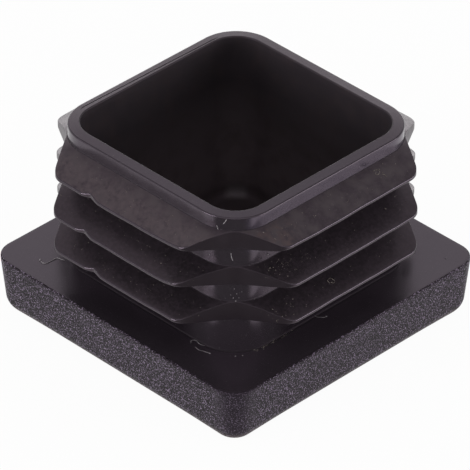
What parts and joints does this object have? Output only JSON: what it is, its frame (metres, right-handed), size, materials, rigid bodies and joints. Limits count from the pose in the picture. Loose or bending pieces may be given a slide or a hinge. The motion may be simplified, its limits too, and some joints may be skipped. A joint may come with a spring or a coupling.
{
  "type": "ribbed tube end cap",
  "caption": "Square end cap for tube: a flat head with a hollow square core ringed by thin wedge-shaped fins that grip the bore.",
  "frame": {"origin": "centre of the head's outer face, which the cap stands on", "axes": "+Z from the head to the open rim of the core, X and Y square to the sides"},
  "size_m": [0.03, 0.03, 0.0195],
  "materials": {
    "black_polyethylene": "satin moulded skin, fine spark-eroded grain on the sides of the head"
  },
  "bodies": {
    "root": {"end_cap": "black_polyethylene"}
  },
  "joints": []
}
